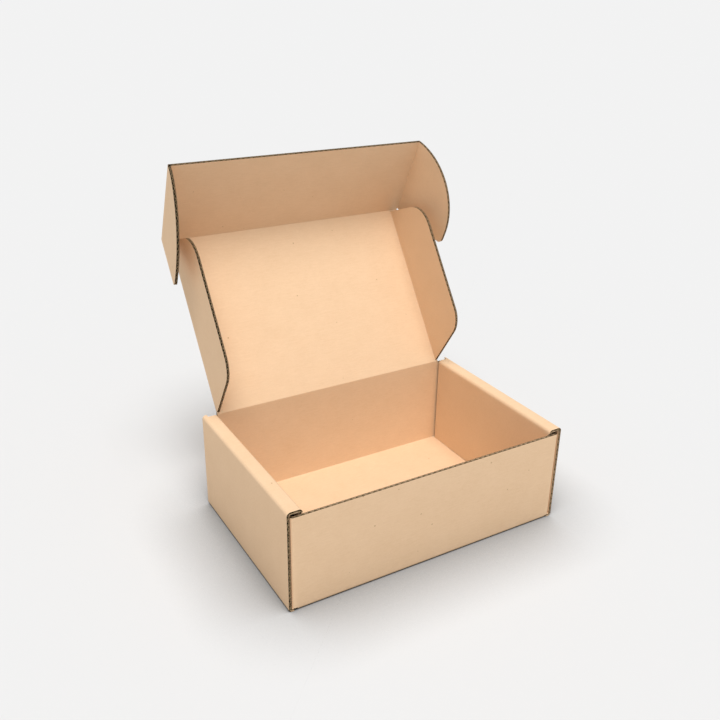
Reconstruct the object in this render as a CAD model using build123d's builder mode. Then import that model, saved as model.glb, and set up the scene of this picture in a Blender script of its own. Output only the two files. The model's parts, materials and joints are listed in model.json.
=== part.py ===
"""Corrugated mailer box, folded from one die-cut sheet of board and shown open.

The tray is the folded base: bottom, front and back walls with corner flaps,
and two sides that roll over those flaps and lock into slots in the bottom.
The lid is hinged on the back wall. A front flap and two dust flaps are hinged
on the lid, and two ears on the ends of the front flap.

Frame: X to the right, Y to the back, Z up. The origin is the middle of the
underside. All sizes are in millimetres.
"""
import os
from math import cos, radians, sin, tan

from build123d import *

# Outside of the tray.
width = 305.0
depth = 196.0
height = 105.5
board = 2.8  # thickness of the corrugated board

# Walls.
front_drop = 6.5  # top of the front wall, below the tops of the sides
shoulder_drop = 3.0  # top of the back wall beside the lid, below the side tops
side_top = 15.0  # a rolled side, from its outer face to its inner face
crease = 0.8  # inside radius of a fold in the tray
layer_gap = 0.2  # air between layers of board that lie close together
edge_gap = 0.4  # a side's cut ends, behind the outer faces of front and back
relief = 0.8  # cut-away between two folds that meet in a corner
back_gap = 2.2  # from a rolled side's inner wall to the back wall

# Corner flaps, held inside the rolled sides.
corner_flap_length = 52.0
corner_flap_taper = 8.0

# Lock tabs on the inner walls, and their slots in the bottom.
tab_length = 36.0
tab_spacing = 92.0
tab_fit = 0.3  # air round a tab in its slot
tab_recess = 0.4  # end of a tab, above the underside

# Lid and flaps.
front_clearance = 1.2  # closed front flap to the front wall
side_clearance = 0.4  # dust flap, turned down, to the rolled side's inner wall
ear_gap = 6.5  # dust flap, turned down, to the ear outside it
front_flap_height = 96.0
dust_flap_depth = 68.0
dust_front_taper = 16.0  # degrees, lean of a dust flap's front edge
dust_rear_taper = 22.0  # degrees, lean of its rear edge
dust_front_radius = 32.0
dust_rear_radius = 26.0
dust_front_inset = 2.3  # its front edge, behind the lid's front fold
dust_rear_inset = 1.7  # its rear edge, in front of the lid's hinge
ear_length = 78.5
ear_flat = 24.0  # height on the ear at which its curved edge starts
ear_tip_radius = 6.0
ear_taper = 5.0  # degrees, lean of the ear's straight edge
ear_inset = 2.5  # straight edge of the ear, beyond the lid's front fold

# Folds that move, in degrees: the lid from closed, the others from flat.
lid_open = 125.0
front_fold = 60.5
dust_fold = 90.0
ear_fold = 80.0

# The tightest that each of them folds, and the air that this needs.
lid_fold_most = 90.0
front_fold_most = 100.0
dust_fold_most = 120.0
ear_fold_most = 90.0
hinge_gap = 0.15

# Worked out from the sizes above.
half_width = width / 2
half_depth = depth / 2
fold_radius = board + crease
fold_run = 1.5 * fold_radius  # from a panel's outer face to where its fold has ended
bead = board / 2
inner_half = half_width - side_top
wall_half = half_width - board - layer_gap
side_half = half_depth - edge_gap
front_top = height - front_drop
shoulder_top = height - shoulder_drop
inner_wall_front = -(half_depth - board - layer_gap)
inner_wall_back = half_depth - board - back_gap
inner_wall_foot = board + layer_gap
hinge_y = half_depth - bead
hinge_z = height - bead
lid_length = hinge_y + half_depth - board - front_clearance - bead
dust_line = inner_half - side_clearance - bead
ear_line = dust_line + bead + ear_gap + bead


def standoff(fold_most):
    """Distance from a fold's axis to the panel that turns on it."""
    return bead * tan(radians(fold_most / 2)) + hinge_gap


def turned(first, second, degrees):
    """Direction at the given angle from the first, towards the second."""
    return first * cos(radians(degrees)) + second * sin(radians(degrees))


def add_bead(start, direction, length):
    """Rounded edge of a panel, along the axis of a fold."""
    with BuildSketch(Plane(origin=start, z_dir=direction)) as edge:
        Circle(bead)
    extrude(edge.sketch, amount=length)


right = Vector(1, 0, 0)
lid_along = turned(Vector(0, -1, 0), Vector(0, 0, 1), lid_open)
lid_inward = right.cross(lid_along)
flap_along = turned(lid_along, lid_inward, front_fold)
flap_inward = right.cross(flap_along)
hinge = Vector(0, hinge_y, hinge_z)
front_line = hinge + lid_along * lid_length

# One rolled side: up the outside, across the top and down to the floor.
with BuildPart() as rolled_side:
    with BuildSketch(Plane.XZ):
        with BuildLine():
            FilletPolyline(
                (half_width - fold_run, 0),
                (half_width, 0),
                (half_width, height),
                (inner_half, height),
                (inner_half, inner_wall_foot),
                radius=fold_radius,
            )
            Line((inner_half, inner_wall_foot), (inner_half + board, inner_wall_foot))
            FilletPolyline(
                (inner_half + board, inner_wall_foot),
                (inner_half + board, height - board),
                (half_width - board, height - board),
                (half_width - board, board),
                (half_width - fold_run, board),
                radius=crease,
            )
            Line((half_width - fold_run, board), (half_width - fold_run, 0))
        make_face()
    extrude(amount=side_half, both=True)
    # Its top and inner wall stop short of the back wall.
    with BuildSketch(Plane.XY.offset(inner_wall_foot)):
        with Locations((half_width - fold_radius, inner_wall_back)):
            Rectangle(side_top, half_depth, align=(Align.MAX, Align.MIN))
    extrude(amount=height, mode=Mode.SUBTRACT)
    # Its inner wall is cut back behind the front wall.
    with BuildSketch(Plane.YZ.offset(inner_half)):
        with BuildLine():
            Polyline(
                (-half_depth, inner_wall_foot),
                (inner_wall_front, inner_wall_foot),
                (inner_wall_front, front_top + layer_gap),
                (-side_half, height - fold_radius),
                (-half_depth, height - fold_radius),
                close=True,
            )
        make_face()
    extrude(amount=fold_radius, mode=Mode.SUBTRACT)
    # Lock tabs.
    with BuildSketch(Plane.XY.offset(tab_recess)):
        with Locations((inner_half + bead, 0)):
            with GridLocations(0, tab_spacing, 1, 2):
                Rectangle(board, tab_length)
    extrude(amount=inner_wall_foot)


def add_wall(facing, top):
    """Front or back wall with its fold and two corner flaps; facing is -1 or 1."""
    outer = facing * half_depth
    inner = facing * (half_depth - board)
    fold_start = facing * (half_depth - fold_run)
    with BuildSketch(Plane.YZ) as wall:
        with BuildLine():
            FilletPolyline((fold_start, 0), (outer, 0), (outer, top), radius=fold_radius)
            Line((outer, top), (inner, top))
            FilletPolyline((inner, top), (inner, board), (fold_start, board), radius=crease)
            Line((fold_start, board), (fold_start, 0))
        make_face()
    extrude(wall.sketch, amount=wall_half - fold_run, both=True)
    flap_end = facing * (half_depth - corner_flap_length)
    for side in (-1, 1):
        wall_end = side * (wall_half - fold_run)
        face = side * wall_half
        back = side * (wall_half - board)
        with BuildSketch(Plane.XY.offset(fold_radius + relief)) as corner_flap:
            with BuildLine():
                FilletPolyline((wall_end, outer), (face, outer), (face, flap_end), radius=fold_radius)
                Line((face, flap_end), (back, flap_end))
                FilletPolyline((back, flap_end), (back, inner), (wall_end, inner), radius=crease)
                Line((wall_end, inner), (wall_end, outer))
            make_face()
        extrude(corner_flap.sketch, amount=top - fold_radius - relief)


with BuildPart() as tray:
    with BuildSketch():
        Rectangle(width - 2 * fold_run, depth - 2 * fold_run)
        with GridLocations(2 * inner_half + board, tab_spacing, 2, 2):
            Rectangle(board + 2 * tab_fit, tab_length + 2 * tab_fit, mode=Mode.SUBTRACT)
    extrude(amount=board)
    add_wall(-1, front_top)
    add_wall(1, shoulder_top)
    flap_ends = tray.edges().filter_by(Axis.X).filter_by(
        lambda edge: abs(abs(edge.center().Y) - (half_depth - corner_flap_length)) < layer_gap
    )
    chamfer(flap_ends, corner_flap_taper)
    # The middle of the back wall rises to the lid's hinge.
    raised_half = dust_line + bead
    with Locations((0, hinge_y, fold_radius)):
        raised_height = hinge_z - fold_radius
        Box(2 * raised_half, board, raised_height, align=(Align.CENTER, Align.CENTER, Align.MIN))
    add_bead(hinge - right * raised_half, right, 2 * raised_half)
    add(rolled_side.part)
    add(mirror(rolled_side.part, about=Plane.YZ, mode=Mode.PRIVATE))
tray.part.label = "tray"

with BuildPart() as lid_panel:
    lid_start = standoff(lid_fold_most)
    with BuildSketch(Plane(origin=hinge, x_dir=right, z_dir=lid_inward)):
        with Locations((0, lid_start)):
            Rectangle(2 * dust_line, lid_length - lid_start, align=(Align.CENTER, Align.MIN))
    extrude(amount=bead, both=True)
    for side in (-1, 1):
        add_bead(hinge + right * side * dust_line + lid_along * lid_start, lid_along, lid_length - lid_start)
    add_bead(front_line - right * dust_line, right, 2 * dust_line)
lid_panel.part.label = "lid_panel"

with BuildPart() as front_flap:
    flap_start = standoff(front_fold_most)
    with BuildSketch(Plane(origin=front_line, x_dir=right, z_dir=flap_inward)):
        with Locations((0, flap_start)):
            Rectangle(2 * ear_line, front_flap_height - flap_start, align=(Align.CENTER, Align.MIN))
    extrude(amount=bead, both=True)
    for side in (-1, 1):
        corner = front_line + right * side * ear_line + flap_along * flap_start
        add_bead(corner, flap_along, front_flap_height - flap_start)
front_flap.part.label = "front_flap"


def add_dust_flap(side):
    """Dust flap on the lid's left (-1) or right (1) side."""
    out = turned(right * side, lid_inward, dust_fold)
    start = standoff(dust_fold_most)
    reach = dust_flap_depth - start
    front = lid_length - dust_front_inset
    corner = hinge + right * side * dust_line
    with BuildSketch(Plane(origin=corner, x_dir=out, z_dir=out.cross(lid_along))) as outline:
        with BuildLine():
            FilletPolyline(
                (start, front),
                (dust_flap_depth, front - reach * tan(radians(dust_front_taper))),
                (dust_flap_depth, dust_rear_inset + reach * tan(radians(dust_rear_taper))),
                (start, dust_rear_inset),
                radius=[dust_front_radius, dust_rear_radius],
            )
            Line((start, dust_rear_inset), (start, front))
        make_face()
    extrude(outline.sketch, amount=bead, both=True)


with BuildPart() as left_dust_flap:
    add_dust_flap(-1)
left_dust_flap.part.label = "left_dust_flap"

with BuildPart() as right_dust_flap:
    add_dust_flap(1)
right_dust_flap.part.label = "right_dust_flap"


def add_ear(side):
    """Ear on the front flap's left (-1) or right (1) end."""
    out = turned(right * side, flap_inward, ear_fold)
    corner = front_line + right * side * ear_line
    tip = (ear_length, ear_inset + ear_length * tan(radians(ear_taper)))
    with BuildSketch(Plane(origin=corner, x_dir=out, z_dir=out.cross(flap_along))) as outline:
        with BuildLine():
            Polyline((0, front_flap_height), (0, ear_inset), tip, (ear_length, ear_flat))
            TangentArc((ear_length, ear_flat), (0, front_flap_height), tangent=(0, 1))
        make_face()
        fillet(outline.vertices().sort_by_distance(tip)[0], ear_tip_radius)
        Rectangle(2 * standoff(ear_fold_most), 2 * ear_length + 2 * front_flap_height, mode=Mode.SUBTRACT)
    extrude(outline.sketch, amount=bead, both=True)


with BuildPart() as left_ear:
    add_ear(-1)
left_ear.part.label = "left_ear"

with BuildPart() as right_ear:
    add_ear(1)
right_ear.part.label = "right_ear"

os.makedirs("parts", exist_ok=True)
export_step(tray.part, "parts/tray.step")
export_step(lid_panel.part, "parts/lid_panel.step")
export_step(front_flap.part, "parts/front_flap.step")
export_step(left_dust_flap.part, "parts/left_dust_flap.step")
export_step(right_dust_flap.part, "parts/right_dust_flap.step")
export_step(left_ear.part, "parts/left_ear.step")
export_step(right_ear.part, "parts/right_ear.step")
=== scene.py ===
import json
from math import cos, pi, radians, sin, tan

import bmesh
import bpy
import numpy as np
from mathutils import Matrix, Vector


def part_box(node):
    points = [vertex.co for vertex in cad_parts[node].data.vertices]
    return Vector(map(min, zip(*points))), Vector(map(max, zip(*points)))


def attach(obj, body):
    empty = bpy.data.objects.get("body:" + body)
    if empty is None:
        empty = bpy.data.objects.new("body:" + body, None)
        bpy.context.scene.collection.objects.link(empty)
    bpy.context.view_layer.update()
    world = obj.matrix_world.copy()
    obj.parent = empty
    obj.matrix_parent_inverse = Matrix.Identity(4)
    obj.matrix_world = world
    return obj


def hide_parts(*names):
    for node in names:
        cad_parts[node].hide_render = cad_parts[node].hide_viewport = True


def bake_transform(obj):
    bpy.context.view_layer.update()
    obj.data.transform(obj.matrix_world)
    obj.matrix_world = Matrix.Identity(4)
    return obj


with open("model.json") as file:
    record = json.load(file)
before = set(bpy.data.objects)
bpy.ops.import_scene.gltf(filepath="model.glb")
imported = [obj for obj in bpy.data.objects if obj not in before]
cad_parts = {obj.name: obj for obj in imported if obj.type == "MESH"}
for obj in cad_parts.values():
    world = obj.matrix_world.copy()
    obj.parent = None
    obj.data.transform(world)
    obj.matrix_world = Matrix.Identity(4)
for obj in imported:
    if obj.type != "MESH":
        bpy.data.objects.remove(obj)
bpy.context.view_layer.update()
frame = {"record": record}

MM = 0.001

# Corrugated board: two flat liners with a wavy medium between them.
board = 2.8 * MM
half_board = board / 2
liner = 0.32 * MM
liner_share = liner / board
medium = 0.3 * MM  # thicker than real paper, so that the wave shows
medium_setback = 0.1 * MM  # how far short of a cut edge the medium ends
flute_pitch = 5.9 * MM
flute_depth = 3.0 * MM  # how far in from a cut edge the medium is modelled
shade_depth = 2.3 * MM  # how far in the painted shade at the flutes' dark end lies
shade_wall = 0.3 * MM
scored_depth = 0.5 * MM  # the same at an edge that runs into a crease
corner_depth = 0.2 * MM  # the same at a wall's lower corners
steps_per_flute = 8
steps_per_shade = 4  # steps of the flutes for each step of their dark end
steps_per_fold = 8
nearest_points = 0.01 * MM  # points of an edge that are nearer count as one
sharp_edge = radians(35.0)

# Folded tray.
crease_radius = 0.8 * MM
fold_radius = board + crease_radius
fold_run = 1.5 * fold_radius  # how far each side of its corner a fold is modelled
side_top = 15.0 * MM
seam_inset = 1.0 * MM  # how far past its top fold the outer wall is modelled
edge_gap = 0.4 * MM
layer_gap = 0.2 * MM
back_gap = 2.2 * MM
front_drop = 6.5 * MM
shoulder_drop = 3.0 * MM
corner_flap_length = 52.0 * MM
corner_flap_taper = 8.0 * MM
tab_length = 36.0 * MM
tab_spacing = 92.0 * MM
tab_recess = 0.4 * MM
tab_fit = 0.3 * MM

# Flaps, as distances from their folds.
flap_height = 96.0 * MM
dust_depth = 68.0 * MM
dust_front_taper = tan(radians(16.0))
dust_rear_taper = tan(radians(22.0))
dust_front_radius = 32.0 * MM
dust_rear_radius = 26.0 * MM
dust_front_inset = 2.3 * MM
dust_rear_inset = 1.7 * MM
dust_angle = radians(90.0)
ear_length = 78.5 * MM
ear_flat = 24.0 * MM
ear_tip_radius = 6.0 * MM
ear_taper = tan(radians(5.0))
ear_inset = 2.5 * MM
ear_angle = radians(80.0)
steps_per_corner = 14
steps_per_tip = 8
steps_per_ear = 40
same_place = 7  # decimals, in metres, at which two places count as one

# Where the creased board of each moving fold ends, from the fold's axis.
lid_reach = 1.6 * MM
front_reach = 1.85 * MM
dust_reach = 2.6 * MM
ear_reach = 1.6 * MM
crease_ease = 0.35 * MM  # how far from its corner the tight face starts to bend

# Places taken from the frame.
half_width, half_depth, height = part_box("tray")[1]
joints = {joint["name"]: joint for joint in frame["record"]["behaviour"]["joints"]}
right = np.array((1.0, 0.0, 0.0))
up = np.array((0.0, 0.0, 1.0))
back = np.array((0.0, 1.0, 0.0))
hinge = np.array(joints["lid_fold"]["pos_m"])
front_line = np.array(joints["front_flap_fold"]["pos_m"])
dust_line = joints["right_dust_flap_fold"]["pos_m"][0]
ear_line = joints["right_ear_fold"]["pos_m"][0]
lid_along = np.array(joints["left_dust_flap_fold"]["axis"])
lid_inward = np.cross(right, lid_along)
flap_along = np.array(joints["right_ear_fold"]["axis"])
flap_inward = np.cross(right, flap_along)
lid_length = float(np.linalg.norm(front_line - hinge))

inner_half = half_width - side_top
wall_half = half_width - board - layer_gap
wall_end = wall_half - fold_run
side_half = half_depth - edge_gap
front_top = height - front_drop
shoulder_top = height - shoulder_drop
raised_half = dust_line + half_board
inner_front = -(half_depth - board - layer_gap)
inner_back = half_depth - board - back_gap
inner_foot = board + layer_gap
lid_edge = dust_line - dust_reach
flap_edge = ear_line - ear_reach
dust_front = lid_length - dust_front_inset
ear_start = (ear_reach, ear_inset + ear_reach * ear_taper)


def turned(first, second, angle):
    """Direction at that angle from the first, towards the second."""
    return first * cos(angle) + second * sin(angle)


def raised(side, parent_inward, angle):
    """Ways out along a side flap, and through it from outer to inner face."""
    out = turned(right * side, parent_inward, angle)
    inward = turned(parent_inward, -right * side, angle)
    return out, inward


def folded(corners, inner_side):
    """Stations along a folded sheet, from its outer face's corners in a plane.

    inner_side is 1 when the inner face is to the left of the way along, -1 to
    the right. Each station is a point of the outer face and the way across."""
    corners = np.array(corners, float)
    ways = np.diff(corners, axis=0)
    ways /= np.linalg.norm(ways, axis=1)[:, None]
    normals = inner_side * np.stack([-ways[:, 1], ways[:, 0]], axis=1)
    points = [corners[0]]
    across = [normals[0]]
    for corner, first, second, way in zip(corners[1:-1], normals, normals[1:], ways):
        centre = corner - way * fold_radius + first * fold_radius
        for step in range(steps_per_fold + 1):
            normal = turned(first, second, step / steps_per_fold * pi / 2)
            points.append(centre - normal * fold_radius)
            across.append(normal)
    points.append(corners[-1])
    across.append(normals[-1])
    return np.array(points), np.array(across)


def extra_station(stations, place):
    """The stations with one more, on the flat stretch before the last."""
    points, across = stations
    points = np.concatenate([points[:-1], [place], points[-1:]])
    across = np.concatenate([across[:-1], across[-1:], across[-1:]])
    return points, across


def in_plane(points, first, second):
    return points[:, :1] * first + points[:, 1:] * second


class Sheet:
    """Board between a low and a high edge, at stations along it.

    outer is each station's point on the outer face, across leads from there to
    the inner face, and low and high are distances along the fold's direction."""

    def __init__(self, outer, across, along, low, high):
        count = len(outer)
        self.outer = np.array(outer, float)
        self.across = np.array(across, float) * np.ones((count, 3))
        self.along = np.array(along, float)
        self.low = np.array(low, float) * np.ones(count)
        self.high = np.array(high, float) * np.ones(count)

    def rim(self, sides):
        """Outer-face points and ways across, round the named sides in turn."""
        low = self.outer + self.low[:, None] * self.along
        high = self.outer + self.high[:, None] * self.along
        runs = {
            "low": (low, self.across),
            "end": (np.array([low[-1], high[-1]]), self.across[[-1, -1]]),
            "high": (high[::-1], self.across[::-1]),
            "start": (np.array([high[0], low[0]]), self.across[[0, 0]]),
        }
        points = np.concatenate([runs[side][0] for side in sides])
        across = np.concatenate([runs[side][1] for side in sides])
        middle = points + across / 2
        gaps = np.linalg.norm(np.diff(middle, axis=0), axis=1)
        kept = np.concatenate([[True], gaps > nearest_points])
        points, across = points[kept], across[kept]
        way = self.outer[1] - self.outer[0]
        facing = np.sign(np.dot(np.cross(way, self.along), self.across[0]))
        return points, across, facing


def folded_sheet(stations, first, second, along, low, high):
    """Sheet that is folded in the plane of the first two directions."""
    points, across = stations
    outer = in_plane(points, first, second)
    return Sheet(outer, in_plane(across, first, second) * board, along, low, high)


# The places of the board's finishes in each piece's list.
KRAFT, FLUTING, FLUTE_SHADE, CUT_LINER_SHADE = range(4)


class Pile:
    """Collects closed shells and makes them one mesh."""

    def __init__(self):
        self.points = []
        self.faces = []
        self.finishes = []
        self.count = 0

    def tube(self, rings, finish, cut=None):
        """Closed shell through rings of equal size; rings is rings x corners x 3.

        cut is the finish of the ends and of every second side."""
        cut = finish if cut is None else cut
        rings = np.array(rings, float)
        length, corners = rings.shape[:2]
        first = self.count
        last = first + (length - 1) * corners
        self.points.append(rings.reshape(-1, 3))
        self.count += length * corners
        for start in range(first, last, corners):
            beyond = start + corners
            for corner in range(corners):
                beside = (corner + 1) % corners
                self.faces.append(
                    (start + corner, start + beside, beyond + beside, beyond + corner)
                )
                self.finishes.append(cut if corner % 2 else finish)
        self.faces.append(tuple(first + corner for corner in range(corners)))
        self.faces.append(tuple(last + corner for corner in reversed(range(corners))))
        self.finishes += [cut, cut]

    def strip(self, near, far, across, low, high, finish):
        """Tube between two lines, from one share of the board's thickness to another."""
        sides = [near + across * low, near + across * high, far + across * high, far + across * low]
        self.tube(np.stack(sides, axis=1), finish)

    def plate(self, sheet, first, last):
        """Part of a sheet's thickness, between two shares of it."""
        low = sheet.outer + sheet.low[:, None] * sheet.along
        high = sheet.outer + sheet.high[:, None] * sheet.along
        near = sheet.across * first
        far = sheet.across * last
        sides = [low + near, high + near, high + far, low + far]
        # The liners' cut sides and ends take the painted edge shade.
        self.tube(np.stack(sides, axis=1), KRAFT, CUT_LINER_SHADE)

    def liners(self, sheet):
        self.plate(sheet, 0, liner_share)
        self.plate(sheet, 1 - liner_share, 1)

    def cut_edge(self, sheet, *sides, fluted=True, depth=shade_depth):
        """Medium, and painted shade for the dark flute ends, along a sheet's cut sides."""
        points, across, facing = sheet.rim(sides)
        middle = points + across / 2
        gaps = np.linalg.norm(np.diff(middle, axis=0), axis=1)
        reached = np.concatenate([[0], np.cumsum(gaps)])
        count = max(2, int(round(reached[-1] / flute_pitch * steps_per_flute)) + 1)
        places = np.linspace(0, reached[-1], count)
        points, across = (
            np.stack([np.interp(places, reached, values[:, axis]) for axis in range(3)], axis=1)
            for values in (points, across)
        )
        way = np.gradient(points + across / 2, axis=0)
        inward = facing * np.cross(across, way)
        inward /= np.linalg.norm(inward, axis=1)[:, None]
        near = points + inward * depth
        far = near + inward * shade_wall
        every = np.unique(np.append(np.arange(0, count, steps_per_shade), count - 1))
        # Painted shade: a near-black sheet inside the board stands in for the shade deep in the
        # flutes.
        self.strip(
            near[every], far[every], across[every], liner_share, 1 - liner_share, FLUTE_SHADE
        )
        if not fluted:
            return
        half_medium = medium / board / 2
        swing = 0.5 - liner_share - half_medium
        turn = 2 * pi * places / flute_pitch
        slope = 2 * pi * swing * board / flute_pitch * np.cos(turn)
        half = half_medium * np.sqrt(1 + slope**2)
        wave = 0.5 + swing * np.sin(turn)
        below = np.clip(wave - half, liner_share, 1 - liner_share)[:, None]
        above = np.clip(wave + half, liner_share, 1 - liner_share)[:, None]
        near = points + inward * medium_setback
        far = points + inward * flute_depth
        self.strip(near, far, across, below, above, FLUTING)

    def piece(self, name):
        mesh = bpy.data.meshes.new(name)
        mesh.from_pydata(np.concatenate(self.points).tolist(), [], self.faces)
        for finish in board_finishes:
            mesh.materials.append(finish)
        mesh.polygons.foreach_set("material_index", self.finishes)
        work = bmesh.new()
        work.from_mesh(mesh)
        bmesh.ops.recalc_face_normals(work, faces=work.faces)
        work.to_mesh(mesh)
        work.free()
        mesh.polygons.foreach_set("use_smooth", [True] * len(mesh.polygons))
        mesh.set_sharp_from_angle(angle=sharp_edge)
        made = bpy.data.objects.new(name, mesh)
        bpy.context.scene.collection.objects.link(made)
        return made

    def rides(self, name, node):
        """The piece that stands for a node and moves with it."""
        made = self.piece(name)
        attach(made, node)
        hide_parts(node)


# Materials.


def linear(text):
    """An sRGB hex colour as linear RGBA."""
    parts = [int(text[place : place + 2], 16) / 255 for place in (0, 2, 4)]
    tones = [part / 12.92 if part <= 0.04045 else ((part + 0.055) / 1.055) ** 2.4 for part in parts]
    return (*tones, 1.0)


def add_node(tree, kind, values=None, links=None, **settings):
    """Adds a node, sets its socket values and settings, and links its inputs."""
    made = tree.nodes.new(kind)
    for name, value in settings.items():
        setattr(made, name, value)
    for name, value in (values or {}).items():
        made.inputs[name].default_value = value
    for name, output in (links or {}).items():
        tree.links.new(output, made.inputs[name])
    return made


def blank_material(name):
    material = bpy.data.materials.new(name)
    material.use_nodes = True
    material.node_tree.nodes.clear()
    return material, material.node_tree


def kraft_liner():
    """Unbleached kraft liner: brown wood pulp pressed flat, which dries matt.

    It shows the pulp's cloudy tone, a fine grain, long fibres and bark specks."""
    cloud_size = 26 * MM
    grain_size = 1.6 * MM
    fibre_length = 9 * MM  # fibres are drawn coarser than real ones, so that they show
    fibre_width = 1.4 * MM
    speck_spacing = 13 * MM
    bump_height = 0.08 * MM
    fibre_scale = (1 / fibre_length, 1 / fibre_width, 1 / fibre_width)

    material, tree = blank_material("kraft_liner")
    place = add_node(tree, "ShaderNodeTexCoord").outputs["Object"]
    cloud = add_node(
        tree, "ShaderNodeTexNoise",
        {"Scale": 1 / cloud_size, "Detail": 3, "Roughness": 0.6}, {"Vector": place},
    )
    grain = add_node(
        tree, "ShaderNodeTexNoise",
        {"Scale": 1 / grain_size, "Detail": 2, "Roughness": 0.7}, {"Vector": place},
    )
    stretched = add_node(tree, "ShaderNodeMapping", {"Scale": fibre_scale}, {"Vector": place})
    fibre = add_node(
        tree, "ShaderNodeTexNoise",
        {"Scale": 1.0, "Detail": 2, "Distortion": 0.6}, {"Vector": stretched.outputs[0]},
    )
    fine = add_node(
        tree, "ShaderNodeMath", {1: 0.8}, {0: grain.outputs["Fac"], 2: fibre.outputs["Fac"]},
        operation="MULTIPLY_ADD",
    )
    tone = add_node(
        tree, "ShaderNodeMath", {1: 0.8}, {0: cloud.outputs["Fac"], 2: fine.outputs[0]},
        operation="MULTIPLY_ADD",
    )
    level = add_node(
        tree, "ShaderNodeMapRange", {"From Min": 0.7, "From Max": 1.9}, {"Value": tone.outputs[0]}
    )
    colour = add_node(tree, "ShaderNodeValToRGB", links={"Fac": level.outputs[0]})
    colour.color_ramp.elements[0].color = linear("DDBB96")
    colour.color_ramp.elements[1].color = linear("E8C8A5")
    cells = add_node(
        tree, "ShaderNodeTexVoronoi",
        {"Scale": 1 / speck_spacing, "Randomness": 1.0}, {"Vector": place},
    )
    chance = add_node(tree, "ShaderNodeSeparateColor", links={"Color": cells.outputs["Color"]})
    size = add_node(
        tree, "ShaderNodeMapRange",
        {"From Min": 0.45, "From Max": 1.0, "To Min": 0.0, "To Max": 0.075},
        {"Value": chance.outputs[0]},
    )
    speck = add_node(
        tree, "ShaderNodeMath", links={0: cells.outputs["Distance"], 1: size.outputs[0]},
        operation="LESS_THAN",
    )
    strength = add_node(
        tree, "ShaderNodeMath", {1: 0.45}, {0: speck.outputs[0]}, operation="MULTIPLY"
    )
    specked = add_node(
        tree, "ShaderNodeMixRGB", {"Color2": linear("8F6A44")},
        {"Fac": strength.outputs[0], "Color1": colour.outputs["Color"]},
    )
    bump = add_node(
        tree, "ShaderNodeBump",
        {"Strength": 0.25, "Distance": bump_height}, {"Height": fine.outputs[0]},
    )
    shader = add_node(
        tree, "ShaderNodeBsdfPrincipled",
        {"Roughness": 0.82, "IOR": 1.45, "Specular IOR Level": 0.25},
        {"Base Color": specked.outputs["Color"], "Normal": bump.outputs[0]},
    )
    add_node(tree, "ShaderNodeOutputMaterial", links={"Surface": shader.outputs[0]})
    return material


def brown_paper(name, grain_size, detail, tones, roughness, specular, spread=0.0):
    """Plain brown paper, with a fine grain from a dark to a light tone.

    spread is how far the two tones are drawn in from the grain's extremes."""
    material, tree = blank_material(name)
    place = add_node(tree, "ShaderNodeTexCoord").outputs["Object"]
    grain = add_node(
        tree, "ShaderNodeTexNoise", {"Scale": 1 / grain_size, "Detail": detail}, {"Vector": place}
    )
    colour = add_node(tree, "ShaderNodeValToRGB", links={"Fac": grain.outputs["Fac"]})
    low, high = colour.color_ramp.elements
    low.position = spread
    high.position = 1.0 - spread
    low.color, high.color = (linear(tone) for tone in tones)
    shader = add_node(
        tree, "ShaderNodeBsdfPrincipled",
        {"Roughness": roughness, "Specular IOR Level": specular},
        {"Base Color": colour.outputs["Color"]},
    )
    add_node(tree, "ShaderNodeOutputMaterial", links={"Surface": shader.outputs[0]})
    return material


board_finishes = (
    kraft_liner(),
    # Recycled paper, duller than the liners and rough where it was cut.
    brown_paper("fluting_medium", 2.2 * MM, 3, ("7D6B52", "A8936F"), 0.95, 0.1, spread=0.3),
    # Painted shade: near-black paper stands in for the shade inside the flutes, where little light
    # reaches.
    brown_paper("painted_flute_shade", 3.0 * MM, 2, ("0E0C08", "1C1811"), 1.0, 0.0),
    # Painted shade: a liner's cut edge drawn near black, standing in for the shade along the
    # board's cut edges.
    brown_paper("painted_cut_edge_shade", 3.0 * MM, 2, ("15120D", "2A241A"), 1.0, 0.0),
)


# Tray: bottom, rolled sides, front and back walls with corner flaps.


def bottom(pile):
    """Bottom panel, in plates that leave a slot open for each lock tab."""
    half_wide = half_width - fold_run
    half_deep = half_depth - fold_run
    slot_near = inner_half - tab_fit
    slot_far = inner_half + board + tab_fit
    slot_half = tab_length / 2 + tab_fit
    beside_slots = (
        (-half_deep, -tab_spacing / 2 - slot_half),
        (slot_half - tab_spacing / 2, tab_spacing / 2 - slot_half),
        (tab_spacing / 2 + slot_half, half_deep),
    )
    plates = [(-slot_near, slot_near, -half_deep, half_deep)]
    for side in (-1, 1):
        plates.append((side * slot_far, side * half_wide, -half_deep, half_deep))
        plates += [(side * slot_near, side * slot_far, low, high) for low, high in beside_slots]
    for near, far, low, high in plates:
        pile.plate(Sheet([right * near, right * far], up * board, back, low, high), 0, 1)


def rolled_side(pile, side):
    """Outer wall, top and inner wall of a side, rolled over its corner flaps."""
    # Outer wall, from its lower fold to just past its top fold.
    seam = half_width - fold_radius - seam_inset
    corners = [(half_width - fold_run, 0), (half_width, 0), (half_width, height), (seam, height)]
    outer_wall = folded_sheet(folded(corners, 1), right * side, up, back, -side_half, side_half)

    # Top and inner wall, cut back behind the front wall and short of the back wall.
    corners = [(seam, height), (inner_half, height), (inner_half, inner_foot)]
    stations = extra_station(folded(corners, 1), (inner_half, front_top + layer_gap))
    above_front = stations[0][:, 1] > front_top + 2 * layer_gap
    front_edge = np.where(above_front, -side_half, inner_front)
    inner_wall = folded_sheet(stations, right * side, up, back, front_edge, inner_back)
    for wall in (outer_wall, inner_wall):
        pile.liners(wall)
        pile.cut_edge(wall, "low")
        pile.cut_edge(wall, "high")


def lock_tabs(pile, side):
    """Tabs on an inner wall's foot, standing in their slots."""
    foot = [right * side * inner_half + up * level for level in (inner_foot, tab_recess)]
    for centre in (-tab_spacing / 2, tab_spacing / 2):
        low = centre - tab_length / 2
        high = centre + tab_length / 2
        pile.plate(Sheet(foot, right * side * board, back, low, high), 0, 1)


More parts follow.
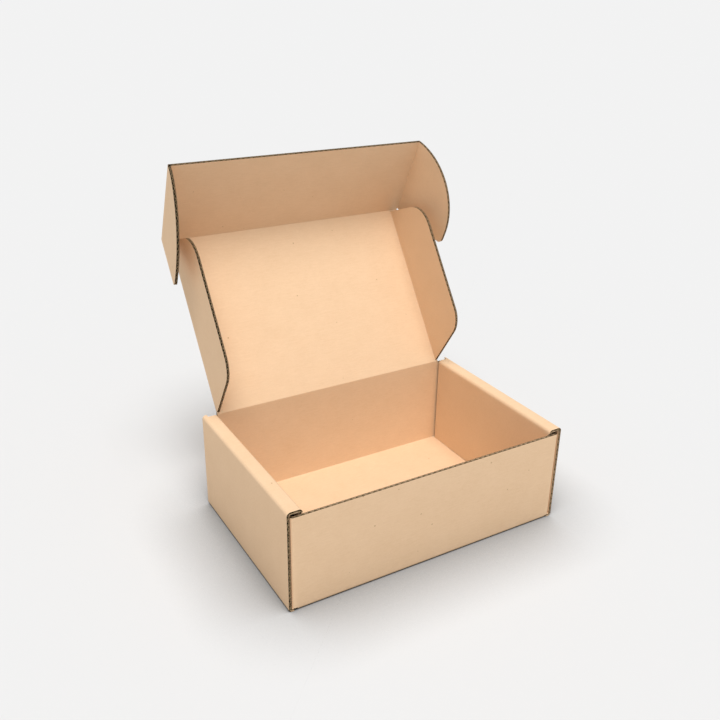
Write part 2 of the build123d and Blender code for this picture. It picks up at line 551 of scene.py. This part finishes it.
def end_wall(pile, facing, top):
    """Front or back wall with its lower fold, and the corner flaps on its ends."""
    corners = [(half_depth - fold_run, 0), (half_depth, 0), (half_depth, top)]
    wall = folded_sheet(folded(corners, 1), back * facing, up, right, -wall_end, wall_end)
    foot = Sheet(wall.outer[:-1], wall.across[:-1], right, -wall_end, wall_end)
    pile.liners(wall)
    if facing < 0:
        pile.cut_edge(wall, "end")
    for side, foot_edge in ((-1, "low"), (1, "high")):
        if facing > 0:
            low, high = sorted((side * raised_half, side * wall_end))
            shoulder = Sheet(wall.outer[-2:], wall.across[-2:], right, low, high)
            pile.cut_edge(shoulder, "end")
        pile.cut_edge(foot, foot_edge, fluted=False, depth=corner_depth)
        corner_flap(pile, side, facing, top)


def corner_flap(pile, side, facing, top):
    """Flap on a wall's end, folded round into a rolled side, narrower at its tip."""
    tip = half_depth - corner_flap_length
    corners = [(wall_end, half_depth), (wall_half, half_depth), (wall_half, tip)]
    stations = extra_station(folded(corners, -1), (wall_half, tip + corner_flap_taper))
    low = np.full(len(stations[0]), inner_foot)
    high = np.full(len(stations[0]), top)
    low[-1] += corner_flap_taper
    high[-1] -= corner_flap_taper
    flap = folded_sheet(stations, right * side, back * facing, up, low, high)
    pile.liners(flap)
    pile.cut_edge(flap, "low", "end", "high")


tray = Pile()
bottom(tray)
for side in (-1, 1):
    rolled_side(tray, side)
    lock_tabs(tray, side)
end_wall(tray, -1, front_top)
end_wall(tray, 1, shoulder_top)
tray.rides("tray_board", "tray")


# Lid and flaps: flat panels.


def panel(origin, out, inward, along, outline):
    """Flat sheet from an outline of (distance out, low, high)."""
    outline = np.array(outline)
    outer = origin - inward * half_board + outline[:, :1] * out
    return Sheet(outer, inward * board, along, outline[:, 1], outline[:, 2])


def rounded_corner(before, corner, after, radius, steps=steps_per_corner):
    """Points of the arc that rounds a corner."""
    before, corner, after = (np.array(point, float) for point in (before, corner, after))
    first = (before - corner) / np.linalg.norm(before - corner)
    second = (after - corner) / np.linalg.norm(after - corner)
    half = np.arccos(np.dot(first, second)) / 2
    middle = (first + second) / np.linalg.norm(first + second)
    centre = corner + middle * radius / sin(half)
    start = corner + first * radius / tan(half) - centre
    end = corner + second * radius / tan(half) - centre
    sweep = pi - 2 * half
    shares = np.linspace(0, 1, steps)[:, None]
    arc = start * np.sin((1 - shares) * sweep) + end * np.sin(shares * sweep)
    return centre + arc / sin(sweep)


def outline_between(low_edge, high_edge):
    """(distance out, low, high) rows from two edges given as points."""
    low_edge = np.array(low_edge)
    high_edge = np.array(high_edge)
    outs = np.concatenate([low_edge[:, 0], high_edge[:, 0]])
    nearest = max(low_edge[0, 0], high_edge[0, 0])
    furthest = min(low_edge[-1, 0], high_edge[-1, 0])
    outs = np.clip(outs, nearest, furthest)
    outs = np.unique(np.round(outs, same_place))
    low = np.interp(outs, low_edge[:, 0], low_edge[:, 1])
    high = np.interp(outs, high_edge[:, 0], high_edge[:, 1])
    return np.stack([outs, low, high], axis=1)


def dust_flap_outline():
    """Outline between slanted rear and front edges that curve into the far edge."""
    rear_far = (dust_depth, dust_rear_inset + (dust_depth - dust_reach) * dust_rear_taper)
    front_far = (dust_depth, dust_front - (dust_depth - dust_reach) * dust_front_taper)
    rear = (dust_reach, dust_rear_inset)
    front = (dust_reach, dust_front)
    return outline_between(
        [rear, *rounded_corner(rear, rear_far, front_far, dust_rear_radius)],
        [front, *rounded_corner(front, front_far, rear_far, dust_front_radius)],
    )


def ear_outline():
    """Outline between a nearly straight lower edge and one long arc to the tip."""
    radius = ((flap_height - ear_flat) ** 2 + ear_length**2) / (2 * ear_length)
    centre = ear_length - radius
    angles = np.linspace(np.arccos((ear_reach - centre) / radius), 0, steps_per_ear)
    arc = np.stack([centre + radius * np.cos(angles), ear_flat + radius * np.sin(angles)], axis=1)
    tip = (ear_length, ear_inset + ear_length * ear_taper)
    tip_arc = rounded_corner(ear_start, tip, (ear_length, ear_flat), ear_tip_radius, steps_per_tip)
    return outline_between([ear_start, *tip_arc], arc)


lid = Pile()
lid_panel = panel(
    hinge, lid_along, lid_inward, right,
    [(lid_reach, -lid_edge, lid_edge), (lid_length - front_reach, -lid_edge, lid_edge)],
)
lid.liners(lid_panel)
lid.cut_edge(lid_panel, "low", "end", "high", "start", fluted=False, depth=scored_depth)
lid.rides("lid_board", "lid_panel")

flap = Pile()
flap_panel = panel(
    front_line, flap_along, flap_inward, right,
    [(front_reach, -flap_edge, flap_edge), (flap_height, -flap_edge, flap_edge)],
)
flap.liners(flap_panel)
flap.cut_edge(flap_panel, "end")
flap.cut_edge(flap_panel, "high", "start", "low", fluted=False, depth=scored_depth)
flap.rides("front_flap_board", "front_flap")


def side_flap(name, origin, ways, along, outline):
    """Dust flap or ear, which is cut round three sides."""
    pile = Pile()
    flap_sheet = panel(origin, *ways, along, outline)
    pile.liners(flap_sheet)
    pile.cut_edge(flap_sheet, "low", "end", "high")
    pile.rides(f"{name}_board", name)


hands = ((-1, "left"), (1, "right"))
for side, hand in hands:
    side_flap(
        f"{hand}_dust_flap", hinge + right * side * dust_line,
        raised(side, lid_inward, dust_angle), lid_along, dust_flap_outline(),
    )
    side_flap(
        f"{hand}_ear", front_line + right * side * ear_line,
        raised(side, flap_inward, ear_angle), flap_along, ear_outline(),
    )


# Creased board, bent round the axes of the moving folds.

least_blend = 0.25  # shares of a crease's reach, from which a span along each panel is worked out
eased_blend = 0.95


def crease(name, axis_point, along, low, high, first_ways, second_ways, reach):
    """Board round a fold's axis, from one panel's end to the other's start.

    Each panel's ways are the way from the axis into it, and the way through it
    from its outer to its inner face."""
    first_way, first_in = first_ways
    second_way, second_in = second_ways
    bend = np.arccos(np.clip(np.dot(first_in, second_in), -1, 1))
    inner_hollow = np.dot(first_in, second_way) > 0
    tuck = half_board * tan(bend / 2)
    ease = min(crease_ease, reach - tuck)
    sign = -1 if inner_hollow else 1
    start = first_way * (tuck + ease) - sign * first_in * half_board
    middle = first_way * tuck - sign * first_in * half_board
    end = second_way * (tuck + ease) - sign * second_in * half_board
    round_side = []
    hollow_side = []
    for share in np.linspace(0, 1, steps_per_fold + 1):
        across = first_in * sin((1 - share) * bend) + second_in * sin(share * bend)
        round_side.append(sign * across / sin(bend) * half_board)
        hollow_side.append(
            start * (1 - share) ** 2 + middle * 2 * share * (1 - share) + end * share**2
        )
    outer_side, inner_side = (
        (round_side, hollow_side) if inner_hollow else (hollow_side, round_side)
    )
    outer, inner = (
        np.array([
            first_way * reach + face * first_in * half_board,
            *bent,
            second_way * reach + face * second_in * half_board,
        ])
        for face, bent in ((-1, outer_side), (1, inner_side))
    )
    strip = Sheet(axis_point + outer, inner - outer, along, low, high)
    pile = Pile()
    pile.liners(strip)
    pile.cut_edge(strip, "low", fluted=False, depth=scored_depth)
    pile.cut_edge(strip, "high", fluted=False, depth=scored_depth)
    made = pile.piece(name)
    span = max(least_blend * reach, eased_blend * (reach - tuck))
    start = tuple(axis_point + first_way * span)
    end = tuple(axis_point + second_way * span)
    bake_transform(made)


crease(
    "lid_crease", hinge, right, -raised_half, raised_half,
    (-up, -back), (lid_along, lid_inward), lid_reach,
)
crease(
    "front_flap_crease", front_line, right, -flap_edge, flap_edge,
    (-lid_along, lid_inward), (flap_along, flap_inward), front_reach,
)
for side, hand in hands:
    crease(
        f"{hand}_dust_flap_crease",
        hinge + right * side * dust_line, lid_along, dust_rear_inset, dust_front,
        (-right * side, lid_inward), raised(side, lid_inward, dust_angle), dust_reach,
    )
    crease(
        f"{hand}_ear_crease",
        front_line + right * side * ear_line, flap_along, ear_start[1], flap_height,
        (-right * side, flap_inward), raised(side, flap_inward, ear_angle), ear_reach,
    )

# Floor: white studio card, with painted shade that darkens it close to the box.
floor_half = 40.0
floor_drop = 0.02 * MM  # keeps the card's face out of the box's underside
painted_shade_reach = 90 * MM
floor_material, tree = blank_material("studio_card")
# Painted shadow: ambient occlusion mixes a near-black brown into the card's colour close to the
# box, standing in for the box's contact shadow.
painted_shade_mask = add_node(tree, "ShaderNodeAmbientOcclusion", {"Distance": painted_shade_reach}, samples=8)
painted_contact_shade = add_node(
    tree, "ShaderNodeMath", {1: 1.1}, {0: painted_shade_mask.outputs["AO"]}, operation="POWER"
)
card_with_painted_shade = add_node(
    tree, "ShaderNodeMixRGB", {"Color1": linear("14110D"), "Color2": linear("D6D6D6")},
    {"Fac": painted_contact_shade.outputs[0]},
)
card = add_node(tree, "ShaderNodeBsdfDiffuse", links={"Color": card_with_painted_shade.outputs[0]})
add_node(tree, "ShaderNodeOutputMaterial", links={"Surface": card.outputs[0]})
floor_mesh = bpy.data.meshes.new("floor")
floor_corners = [
    (x * floor_half, y * floor_half, -floor_drop) for x, y in ((-1, -1), (1, -1), (1, 1), (-1, 1))
]
floor_mesh.from_pydata(floor_corners, [], [(0, 1, 2, 3)])
floor_mesh.materials.append(floor_material)
floor = bpy.data.objects.new("floor", floor_mesh)
bpy.context.scene.collection.objects.link(floor)

# Even surrounding light; the backdrop is seen as pale grey.
world = bpy.data.worlds.new("studio")
bpy.context.scene.world = world
world.use_nodes = True
tree = world.node_tree
tree.nodes.clear()
path = add_node(tree, "ShaderNodeLightPath")
seen = path.outputs["Is Camera Ray"]
for ray in ("Is Glossy Ray", "Is Transmission Ray"):
    seen = add_node(
        tree, "ShaderNodeMath", links={0: seen, 1: path.outputs[ray]}, operation="MAXIMUM"
    ).outputs[0]
ambient = add_node(
    tree, "ShaderNodeBackground", {"Color": linear("FFFFFF"), "Strength": 0.46}
)
backdrop = add_node(
    tree, "ShaderNodeBackground", {"Color": linear("F2F2F2"), "Strength": 1.0}
)
mixed = add_node(
    tree, "ShaderNodeMixShader", links={0: seen, 1: ambient.outputs[0], 2: backdrop.outputs[0]}
)
add_node(tree, "ShaderNodeOutputWorld", links={"Surface": mixed.outputs[0]})

# Large soft light overhead, a little to the front.
key_way = Vector((-0.09, -0.23, 0.65))
key_data = bpy.data.lights.new("overhead_softbox", "SUN")
key_data.energy = 2.9
key_data.angle = radians(38)
key = bpy.data.objects.new("overhead_softbox", key_data)
bpy.context.scene.collection.objects.link(key)
key.rotation_mode = "QUATERNION"
key.rotation_quaternion = (-key_way).to_track_quat("-Z", "Y")

# Camera.
azimuth = radians(-30.79)
elevation = radians(24.58)
roll = radians(0.93)
camera_place = Vector((-0.4019, -0.6317, 0.5157))
camera_data = bpy.data.cameras.new("camera")
camera_data.sensor_width = 36.0
camera_data.lens = 42.22
camera_data.clip_start = 0.01
camera_data.clip_end = 200.0
behind = Vector((sin(azimuth) * cos(elevation), -cos(azimuth) * cos(elevation), sin(elevation)))
level = Vector((cos(azimuth), sin(azimuth), 0.0))
above = behind.cross(level)
pose = Matrix(
    (level * cos(roll) + above * sin(roll), above * cos(roll) - level * sin(roll), behind)
).transposed().to_4x4()
pose.translation = camera_place
camera = bpy.data.objects.new("camera", camera_data)
bpy.context.scene.collection.objects.link(camera)
camera.matrix_world = pose
bpy.context.scene.camera = camera
bpy.context.scene.view_settings.view_transform = "Standard"
